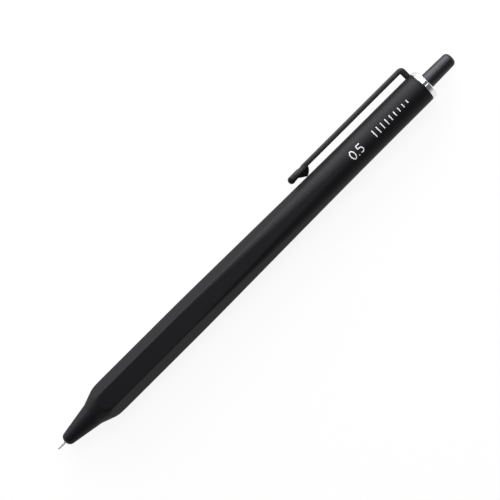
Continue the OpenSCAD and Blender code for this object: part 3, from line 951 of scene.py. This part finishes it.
@dataclass(frozen=True)
class TopEnd:
    """The bright collar, the clip's ring under it, and the push button."""

    dome: tuple[float, float] = (0.5, 1.2)  # height and width of the collar's round rim
    end_wall: float = 0.8
    collar_length: float = 1.6
    button_gap: float = 0.1
    plug_radius: float = 3.53
    plug_bore: float = 3.13
    plug_rounding: float = 0.12
    hole_rounding: float = 0.12
    rim_rounding: float = 0.06
    fine_rounding: float = 0.05
    ring_bore: float = 3.56
    ring_edge: float = 0.08
    ring_bore_edge: float = 0.04
    lug_half_width: float = 1.3
    button_end_radius: float = 1.9
    button_round: float = 1.1
    button_wall: float = 0.6
    button_end_wall: float = 1.4
    button_taper_rounding: float = 0.4
    button_rim: tuple[float, float] = (0.1, 0.08)  # rounding outside and inside
    button_floor_rounding: float = 0.2

    def build_collar(self) -> bpy.types.Object:
        """Makes the collar: a plated cap with a domed rim and a plug inside the barrel.

        Returns:
            The collar's object.
        """
        reach, button = Reach.of("top_collar"), Reach.of("push_button")
        hole = button.radius + self.button_gap
        height, width = self.dome
        front, inside = reach.end - self.collar_length, reach.end - self.end_wall
        fine = self.fine_rounding
        outline = rounded([
            (reach.start, self.plug_bore, fine),
            (reach.start, self.plug_radius, self.plug_rounding),
            (front, self.plug_radius, fine), (front, reach.radius, self.rim_rounding),
            (reach.end, reach.radius, height, width), (reach.end, hole, self.hole_rounding),
            (inside, hole, fine), (inside, self.plug_bore, fine),
        ], steps=12)
        return fit_piece(make_piece("collar_cap", [lathe(outline, sides=128)]), "top_collar")

    def build_ring(self) -> bpy.types.Object:
        """Makes the clip's ring.

        Its outside is a circle, and within the lug's width it is the flat that the clip's leg
        stands on, at the lug's height over the cosine of the angle.

        Returns:
            The ring's object.
        """
        reach = Reach.of("clip_ring")
        outline = rounded([
            (reach.start, self.ring_bore, self.ring_bore_edge),
            (reach.start, reach.radius, self.ring_edge),
            (reach.end, reach.radius, self.ring_edge),
            (reach.end, self.ring_bore, self.ring_bore_edge),
        ])
        angle = np.linspace(-math.pi, math.pi, 180, endpoint=False)
        lug_end = math.atan(self.lug_half_width / reach.clip_side)
        lug = np.where(np.abs(angle) <= lug_end, reach.clip_side / np.cos(angle), reach.radius)
        share = np.clip((outline[:, 1:] - self.ring_bore) / (reach.radius - self.ring_bore), 0, 1)
        rows = outline[:, 1:] + (lug - reach.radius) * share
        skin = Skin(round_axis(outline[:, :1], rows, angle[None, :]), closed_rows=True)
        return fit_piece(make_piece("clip_band", [skin]), "clip_ring")

    def build_button(self) -> bpy.types.Object:
        """Makes the button: a slightly tapered cup with a rounded end.

        Returns:
            The button's object.
        """
        reach, collar = Reach.of("push_button"), Reach.of("top_collar")
        inside = reach.radius - self.button_wall
        floor = reach.end - self.button_end_wall
        rim_outside, rim_inside = self.button_rim
        outline = rounded([
            (reach.end, 0.0), (reach.end, self.button_end_radius, self.button_round),
            (collar.end, reach.radius, self.button_taper_rounding),
            (reach.start, reach.radius, rim_outside), (reach.start, inside, rim_inside),
            (floor, inside, self.button_floor_rounding), (floor, 0.0),
        ], steps=12, closed=False)
        return fit_piece(make_piece("button_cup", [lathe(outline, closed=False)]), "push_button")


# ---- clip ----


def smooth_step(share: np.ndarray) -> np.ndarray:
    """Runs from 0 to 1 with level ends, as three squares less two cubes of the share."""
    share = np.clip(share, 0, 1)
    return share * share * (3 - 2 * share)


@dataclass(frozen=True)
class Clip:
    """The clip: a pressed channel with a round free end, a bump, an arm, a bend and a leg.

    A section is carried along a path that follows the outside of the clip from its free end
    to its foot. Depths are measured from that path towards the barrel.
    """

    depth: float = 1.38
    sheet: float = 0.45
    bend_radius: float = 1.4
    squareness: float = 4.2  # power of the section's superellipse
    hem: float = 0.1
    end_radius: float = 1.0
    end_slope: float = math.radians(6)
    bump_from_end: float = 4.6
    bump_front_slope: float = math.radians(33)
    bump_rear_slope: float = math.radians(15)
    bump_rear_radius: float = 2.8
    bump_gap: float = 0.006
    bump_taper: float = 0.55  # share of its width that the bump loses at its tip
    bump_crest: float = 0.08  # rounding along the bump's tip
    bump_ease: float = 0.05  # rounding where the bump leaves the arm
    foot_fit: float = 0.035  # how far the foot sinks into the ring's flat
    channel_start: float = 7.0
    channel_ramp: float = 1.6
    dimple_radius: float = 1.6
    dimple_depth: float = 0.3
    dimple_ease: float = 0.05  # rounding of the dimple's rim
    dimple_reach: float = 1.4
    row_step: float = 0.1

    @property
    def reach(self) -> Reach:
        """Where the clip lies."""
        return Reach.of("clip")

    @property
    def half_width(self) -> float:
        """Half the clip's width across the pen."""
        return self.reach.radius

    @property
    def tip_depth(self) -> float:
        """Depth at which the bump almost touches the barrel."""
        bump = np.array([self.reach.start + self.bump_from_end])
        return self.reach.clip_side - Barrel().section(bump, np.zeros(1))[0] - self.bump_gap

    @property
    def arm_length(self) -> float:
        """Length of the path from the free end to the bend."""
        return self.reach.end - self.reach.start - self.bend_radius

    @property
    def leg_start(self) -> float:
        """Length of the path from the free end to the end of the bend."""
        return self.arm_length + self.bend_radius * math.pi / 2

    def rows(self) -> np.ndarray:
        """Distances along the path at which sections stand, from the free end to the foot.

        Returns:
            The distances, close together at the free end, over the bump and in the bend.
        """
        reach, step = self.reach, self.row_step
        arm, leg = self.arm_length, self.leg_start
        foot = leg + reach.clip_side - self.bend_radius - reach.low_side + self.foot_fit
        hollow = self.channel_start + self.channel_ramp
        return np.concatenate([
            self.half_width * (1 - np.cos(np.linspace(0, math.pi / 2, 21))),
            np.arange(self.half_width + step, hollow, step), np.linspace(hollow, arm, 48),
            np.linspace(arm, leg, 18)[1:], np.linspace(leg, foot, 8)[1:]])

    def underside(self, along: np.ndarray) -> np.ndarray:
        """Depth of the underside at a distance from the free end.

        A circle at the free end turns into a gentle rise. Behind it stands the bump, the
        smaller of a straight front flank and a round rear flank, and behind that the arm's
        own depth.

        Args:
            along: distances from the free end.

        Returns:
            The depth at each distance.
        """
        bump, end = self.bump_from_end, self.end_radius
        tip = self.tip_depth
        circle = end + np.sqrt(np.clip(end**2 - (end - along) ** 2, 0, None))
        rise = 2 * end - (along - end) * math.tan(self.end_slope)
        front = tip - (bump - along) * math.tan(self.bump_front_slope)
        centre_depth = tip - self.bump_rear_radius * math.cos(self.bump_rear_slope)
        centre_along = bump - self.bump_rear_radius * math.sin(self.bump_rear_slope)
        rear = centre_depth + np.sqrt(np.clip(
            self.bump_rear_radius**2 - (along - centre_along) ** 2, 0, None))
        flank = soft_min(front, rear, self.bump_crest)
        base = np.where(along < end, circle, np.where(along < bump, rise, self.depth))
        return np.where(along < end, base, -soft_min(-flank, -base, self.bump_ease))

    def half_round(self, turn: np.ndarray) -> tuple[np.ndarray, np.ndarray]:
        """Half a superellipse: the cosine and the sine of a turn, each raised to a power.

        Args:
            turn: angles in radians, from 0 at one edge of the clip to pi at the other.

        Returns:
            Places across, from -1 to 1, and heights, from 0 to 1.
        """
        power = 2 / self.squareness
        cosine = np.cos(turn)
        return -np.sign(cosine) * np.abs(cosine) ** power, np.abs(np.sin(turn)) ** power

    def dimple(self, along: np.ndarray, across: np.ndarray, depth: np.ndarray) -> np.ndarray:
        """How far the round dimple presses the back of the bump down.

        It is a cap of a sphere: the root of the squared radius less the squared distance from
        the dimple's middle, less what keeps the cap as deep as the dimple.

        Args:
            along: distances from the free end.
            across: places across the clip.
            depth: depths of the same points.

        Returns:
            What each point's depth gains, which is 0 away from the dimple.
        """
        distance = np.hypot(along - self.bump_from_end, across)
        cap = (np.sqrt(np.clip(self.dimple_radius**2 - distance**2, 0, None))
               - (self.dimple_radius - self.dimple_depth))
        pressed = -soft_min(-cap, np.zeros_like(cap), self.dimple_ease)
        on_top = depth < self.depth / 2
        return pressed * on_top * smooth_step(self.dimple_reach - distance)

    def sections(self, along: np.ndarray) -> tuple[np.ndarray, np.ndarray]:
        """Widths and depths of the sections' points.

        The outside is half a superellipse that stands on the channel's open edge, and the
        inside is a smaller one that is pressed flat where the clip is solid. A round hem
        joins the two at each edge. The bump grows narrower towards its tip.

        Args:
            along: a column of distances from the free end.

        Returns:
            Places across the clip and depths, with a row for each distance.
        """
        half = self.half_width
        width = np.sqrt(np.clip(half**2 - np.clip(half - along, 0, None) ** 2, 0, None))
        end = np.clip(self.end_radius - along, 0, None)
        top = self.end_radius - np.sqrt(self.end_radius**2 - end**2)
        low = self.underside(along)
        hollow = smooth_step((along - self.channel_start) / self.channel_ramp)
        hem = np.minimum(self.hem, (low - top) / 3)

        turn = np.linspace(0, math.pi, 57)[None, :]
        across, height = self.half_round(turn)
        outer = (width * across, low - hem - (low - hem - top) * height)
        across, height = self.half_round(turn[:, ::-2])
        inner_height = (low - hem - top - self.sheet) * hollow
        inner = (width * (1 - self.sheet / half) * across,
                 low - hem * hollow - inner_height * height)
        quarter = np.linspace(0, math.pi / 2, 5)[None, 1:]
        edge = np.minimum(hem, width / 4)
        right = (width - edge * (1 - np.cos(quarter)), low - hem + hem * np.sin(quarter))
        across_all = np.concatenate([outer[0], right[0], inner[0], -right[0][:, ::-1]], axis=1)
        depth_all = np.concatenate([outer[1], right[1], inner[1], right[1][:, ::-1]], axis=1)
        below = np.clip((depth_all - self.depth) / (self.tip_depth - self.depth), 0, 1)
        across_all = across_all * (1 - self.bump_taper * below)
        return across_all, depth_all + self.dimple(along, across_all, depth_all)

    def build(self) -> bpy.types.Object:
        """Makes the clip by carrying its section along the path.

        Returns:
            The clip's object.
        """
        reach, arm = self.reach, self.arm_length
        along = self.rows()[:, None]
        across, depth = self.sections(along)
        turn = np.clip((along - arm) / self.bend_radius, 0, math.pi / 2)
        leg = np.clip(along - self.leg_start, 0, None)
        path_x = reach.start + np.minimum(along, arm) + self.bend_radius * np.sin(turn)
        path_y = reach.clip_side - self.bend_radius * (1 - np.cos(turn)) - leg
        points = np.stack([
            path_x - depth * np.sin(turn), path_y - depth * np.cos(turn),
            np.broadcast_to(across, depth.shape)], axis=-1)
        piece = make_piece("clip_channel", [Skin(points, caps=(False, True))], sharp_deg=40)
        return fit_piece(piece, "clip")


# ---- marking ----


@dataclass(frozen=True)
class Marking:
    """Generic marks in white print: the width of the line in figures, and a row of bars."""

    x_figures: float = 35.2
    x_bars: float = 42.9
    height: float = 2.2
    stroke: float = 0.28
    film: float = 0.012
    figure_half_width: float = 0.66
    dot_place: float = 1.276  # from the zero's middle
    five_place: float = 2.464  # from the zero's middle
    bowl_half_height: float = 0.682
    bowl_start: float = math.radians(111.6)
    bowl_end: float = math.radians(-129.6)
    bars: int = 9
    bar_pitch: float = 1.45
    bar_shrink: float = 0.07  # share of the full height that each bar loses

    def five(self) -> np.ndarray:
        """The figure five about its own middle: a bar, a stem and a round bowl.

        Returns:
            Rows of (x, y) along its stroke.
        """
        half, wide, low = self.height / 2, self.figure_half_width, self.bowl_half_height
        bar_and_stem = np.array([(1, 1), (0.2, 1), (-0.75, 1), (-0.8, 0.6), (-0.85, 0.2)])
        bowl = np.linspace(self.bowl_start, self.bowl_end, 22)
        return np.concatenate([
            bar_and_stem * [wide, half],
            np.stack([wide * np.cos(bowl), low * np.sin(bowl) - half + low], -1)])

    def ribbon(self, path: np.ndarray, closed: bool = False) -> Skin:
        """A stroke of print along a path on the barrel's upper side.

        Args:
            path: rows of (x, y) on the barrel, seen from above.
            closed: whether the path closes on itself.

        Returns:
            A thin film whose edges lie half a stroke to each side of the path.
        """
        if closed:
            step = np.roll(path, -1, 0) - np.roll(path, 1, 0)
        else:
            step = np.gradient(path, axis=0)
        side = np.stack([-step[:, 1], step[:, 0]], -1) / np.linalg.norm(step, axis=1)[:, None]
        # Across a stroke the film rises from under the surface, lies flat and sinks again.
        share = np.array([1, 1, 1, 0, -1, -1, -1])[None, :, None]
        places = path[:, None] + side[:, None] * self.stroke / 2 * share
        lift = self.film * np.array([-0.5, 0.5, 1, 1, 1, 0.5, -0.5])[None, :]
        x, y = places[..., 0], places[..., 1]
        barrel = Barrel()
        angle = UP - np.arcsin(y / barrel.reach.radius)
        radius = barrel.radius(x, angle) + lift
        return Skin(round_axis(x, radius, angle), closed_rows=closed,
                    caps=(not closed, not closed))

    def build(self) -> bpy.types.Object:
        """Makes the figures and the bars as one piece on the barrel.

        Returns:
            The marks' object.
        """
        half, wide = self.height / 2, self.figure_half_width
        turn = np.linspace(0, 2 * math.pi, 40, endpoint=False)
        zero = np.stack([wide * np.cos(turn), half * np.sin(turn)], -1)
        dot = np.stack([np.linspace(-1, 1, 4) * self.stroke / 2, np.full(4, -half)], -1)
        skins = [self.ribbon(zero + [self.x_figures, 0], closed=True),
                 self.ribbon(dot + [self.x_figures + self.dot_place, 0]),
                 self.ribbon(self.five() + [self.x_figures + self.five_place, 0])]
        for bar in range(self.bars):
            line = np.stack([np.full(8, self.x_bars + bar * self.bar_pitch),
                             np.linspace(-half, half, 8) * (1 - self.bar_shrink * bar)], -1)
            skins.append(self.ribbon(line))
        piece = make_piece("line_width_marks", skins, sharp_deg=60)
        piece.data.materials.append(Finish.WHITE_PRINT.material())
        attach(piece, "barrel")
        return piece


# ---- stage ----


def seen_rays(graph: Graph) -> tuple[bpy.types.NodeSocket, bpy.types.NodeSocket]:
    """Finds the rays through which the camera sees something.

    Args:
        graph: the node tree that asks.

    Returns:
        1 for rays that come straight or through a clear piece, and 1 for mirrored rays.
    """
    path = graph.add("ShaderNodeLightPath")
    direct = graph.math("MAXIMUM", path.outputs["Is Camera Ray"],
                        path.outputs["Is Transmission Ray"])
    return direct, path.outputs["Is Glossy Ray"]


@dataclass(frozen=True)
class Lamp:
    """A large soft lamp that lies along the pen and faces its axis.

    It stands at a side, as an angle round the vertical from the clip side, and at a rise.
    """

    name: str
    side_deg: float
    rise_deg: float
    distance: float
    size: tuple[float, float]
    radiance: float
    along: float = 0.0

    def build(self) -> bpy.types.Object:
        """Makes the lamp. Its power is its radiance times pi and its area.

        Returns:
            The lamp's object.
        """
        light = bpy.data.lights.new(self.name, "AREA")
        light.shape = "RECTANGLE"
        light.size, light.size_y = self.size
        light.energy = self.radiance * math.pi * self.size[0] * self.size[1]
        lamp = bpy.data.objects.new(self.name, light)
        side, rise = math.radians(self.side_deg), math.radians(self.rise_deg)
        outward = Vector((math.sin(side) * math.cos(rise), math.cos(side) * math.cos(rise),
                          math.sin(rise)))
        lamp.location = outward * self.distance + Vector((self.along, 0, 0))
        lamp.rotation_euler = outward.to_track_quat("Z", "Y").to_euler()
        bpy.context.scene.collection.objects.link(lamp)
        return lamp


@dataclass(frozen=True)
class Studio:
    """A white floor, a white surround, soft lamps and a camera that looks straight down.

    Only the camera's sensor and lens are in millimetres.
    """

    floor_half: float = 1.5
    floor_white: float = 0.9  # share of plain white in what is seen of the floor
    floor_paint: float = 0.82  # how much light the floor's paint throws back
    sky: float = 0.17  # strength of the surround where it is dim
    horizon: tuple[float, float] = (0.1, 0.65)  # rise of a ray where white ends and dim begins
    camera_height: float = 0.36
    camera_offset: tuple[float, float] = (-0.00023, 0.001415)
    camera_turn_deg: float = -44.88
    camera_clip: tuple[float, float] = (0.01, 10.0)
    sensor: float = 36.0
    lens: float = 101.1
    lamps: tuple[Lamp, ...] = (
        Lamp("low_rear", 0, 10, 0.7, (0.7, 0.2), 8.5, 0.35),
        Lamp("key", 0, 30, 0.7, (0.7, 0.25), 11.5, 0.35),
        Lamp("upper", 0, 50, 0.7, (0.7, 0.25), 3.8, 0.35),
        Lamp("overhead", 0, 68, 0.7, (0.7, 0.2), 7.5, 0.35),
        Lamp("low_front", 0, 10, 0.7, (0.7, 0.2), 7.0, -0.35),
        Lamp("far_strip", 180, 76, 0.7, (0.12, 0.035), 3.5, 0.18),
    )

    def build_floor(self) -> bpy.types.Object:
        """Makes the floor at height 0.

        It shows mostly plain white to the rays that see it, and a share of lit white paint,
        which keeps the pen's shadow.

        Returns:
            The floor's object.
        """
        mesh = bpy.data.meshes.new("desk")
        half = self.floor_half
        mesh.from_pydata([(-half, -half, 0), (half, -half, 0), (half, half, 0), (-half, half, 0)],
                         [], [(0, 1, 2, 3)])
        material = bpy.data.materials.new("white_desk")
        material.use_nodes = True
        graph = Graph(material.node_tree)
        paint = graph.add("ShaderNodeBsdfDiffuse", {"Color": (*[self.floor_paint] * 3, 1)})
        glow = graph.add("ShaderNodeEmission", {"Color": (1, 1, 1, 1), "Strength": 1.0})
        seen = graph.math("MAXIMUM", *seen_rays(graph))
        share = graph.math("MULTIPLY", seen, self.floor_white)
        mix = graph.add("ShaderNodeMixShader", {0: share, 1: paint.outputs[0], 2: glow.outputs[0]})
        graph.add("ShaderNodeOutputMaterial", {"Surface": mix.outputs[0]})
        mesh.materials.append(material)
        floor = bpy.data.objects.new("desk", mesh)
        bpy.context.scene.collection.objects.link(floor)
        return floor

    def build_world(self) -> bpy.types.World:
        """Makes the surround: white to the camera and near the horizon, dim overhead.

        Returns:
            The world.
        """
        world = bpy.data.worlds.new("surround")
        world.use_nodes = True
        graph = Graph(world.node_tree)
        up = graph.add("ShaderNodeSeparateXYZ", {
            0: graph.add("ShaderNodeTexCoord").outputs["Generated"]}).outputs["Z"]
        direct, mirrored = seen_rays(graph)
        bright, dim = self.horizon
        low = graph.add("ShaderNodeMapRange", {
            "Value": up, "From Min": bright, "From Max": dim, "To Min": 1.0, "To Max": 0.0})
        glow = graph.math("MULTIPLY", low.outputs[0], mirrored)
        white = graph.math("MAXIMUM", glow, direct)
        strength = graph.math("MULTIPLY_ADD", white, 1 - self.sky, self.sky)
        background = graph.add("ShaderNodeBackground", {"Color": (1, 1, 1, 1),
                                                        "Strength": strength})
        graph.add("ShaderNodeOutputWorld", {"Surface": background.outputs[0]})
        bpy.context.scene.world = world
        return world

    def build_camera(self) -> bpy.types.Object:
        """Makes the camera above the pen, turned so that the pen lies across the frame.

        Returns:
            The camera's object.
        """
        data = bpy.data.cameras.new("camera")
        data.sensor_width, data.lens = self.sensor, self.lens
        data.clip_start, data.clip_end = self.camera_clip
        camera = bpy.data.objects.new("camera", data)
        camera.location = (*self.camera_offset, self.camera_height + AXIS_HEIGHT * MM)
        camera.rotation_euler = (0, 0, math.radians(self.camera_turn_deg))
        bpy.context.scene.collection.objects.link(camera)
        bpy.context.scene.camera = camera
        return camera

    def build(self) -> None:
        """Makes the floor, the surround, the lamps and the camera."""
        self.build_floor()
        self.build_world()
        for lamp in self.lamps:
            lamp.build()
        self.build_camera()
        bpy.context.scene.view_settings.view_transform = "Standard"


# ---- the whole pen ----

KEPT_NODES: tuple[str, ...] = (
    "needle_bush", "tip_holder", "refill_tube", "gel_ink", "ink_follower", "follower_float",
    "tail_plug", "cam_sleeve", "rotor_cam", "plunger",
)


def dress_kept_nodes() -> None:
    """Gives the CAD meshes that stay in the picture the finish of their slot."""
    for node in KEPT_NODES:
        frame["nodes"][node].data.materials[0] = Finish[SLOT_OF[node].upper()].material()


def main() -> None:
    """Builds the pen's pieces in order, reports each of them, and builds the scene round them."""
    logging.basicConfig(level=logging.INFO, format="%(name)s: %(message)s")
    point, top = WritingPoint(), TopEnd()
    for build in (Barrel().build, Nose().build, point.build_needle, point.build_ball,
                  point.build_ball_spring, ReturnSpring().build, top.build_collar,
                  top.build_ring, top.build_button, Clip().build, Marking().build):
        piece = build()
        log.info("made %s, %d faces", piece.name, len(piece.data.polygons))
    dress_kept_nodes()
    Studio().build()


if __name__ == "__main__":
    main()
